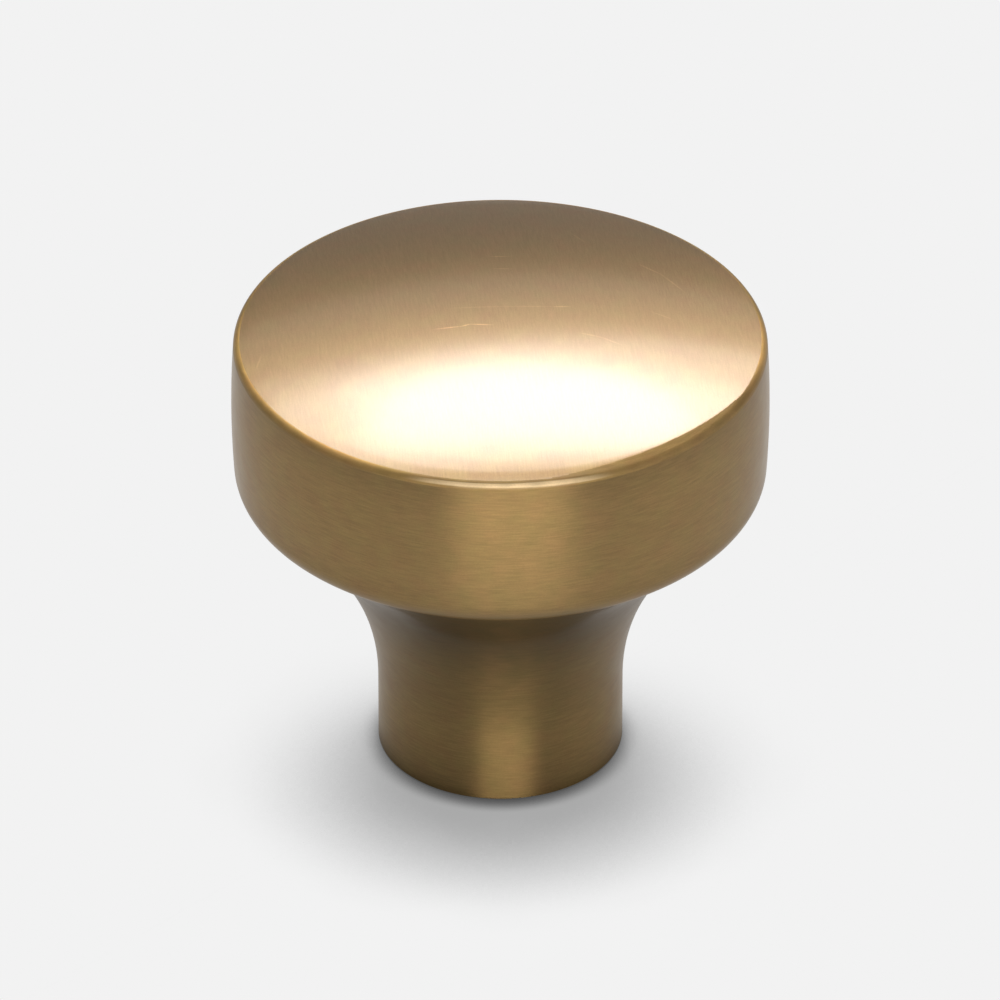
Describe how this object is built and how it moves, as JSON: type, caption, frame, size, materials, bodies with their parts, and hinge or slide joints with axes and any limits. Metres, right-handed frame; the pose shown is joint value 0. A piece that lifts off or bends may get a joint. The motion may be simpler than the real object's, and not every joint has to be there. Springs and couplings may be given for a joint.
{
  "type": "cabinet knob",
  "caption": "Turned brass cabinet knob with a straight stem that flares into a round, slightly domed head, with a tapped hole in its base for a screw.",
  "frame": {"origin": "centre of the stem's flat base, which sits on the door or drawer front", "axes": "+Z along the knob's axis, from the base to the crown of the head; round about Z, and -Y faces the picture's camera"},
  "size_m": [0.032, 0.032, 0.03],
  "materials": {
    "brushed_brass": "satin brushed"
  },
  "bodies": {
    "root": {"knob": "brushed_brass"}
  },
  "joints": []
}
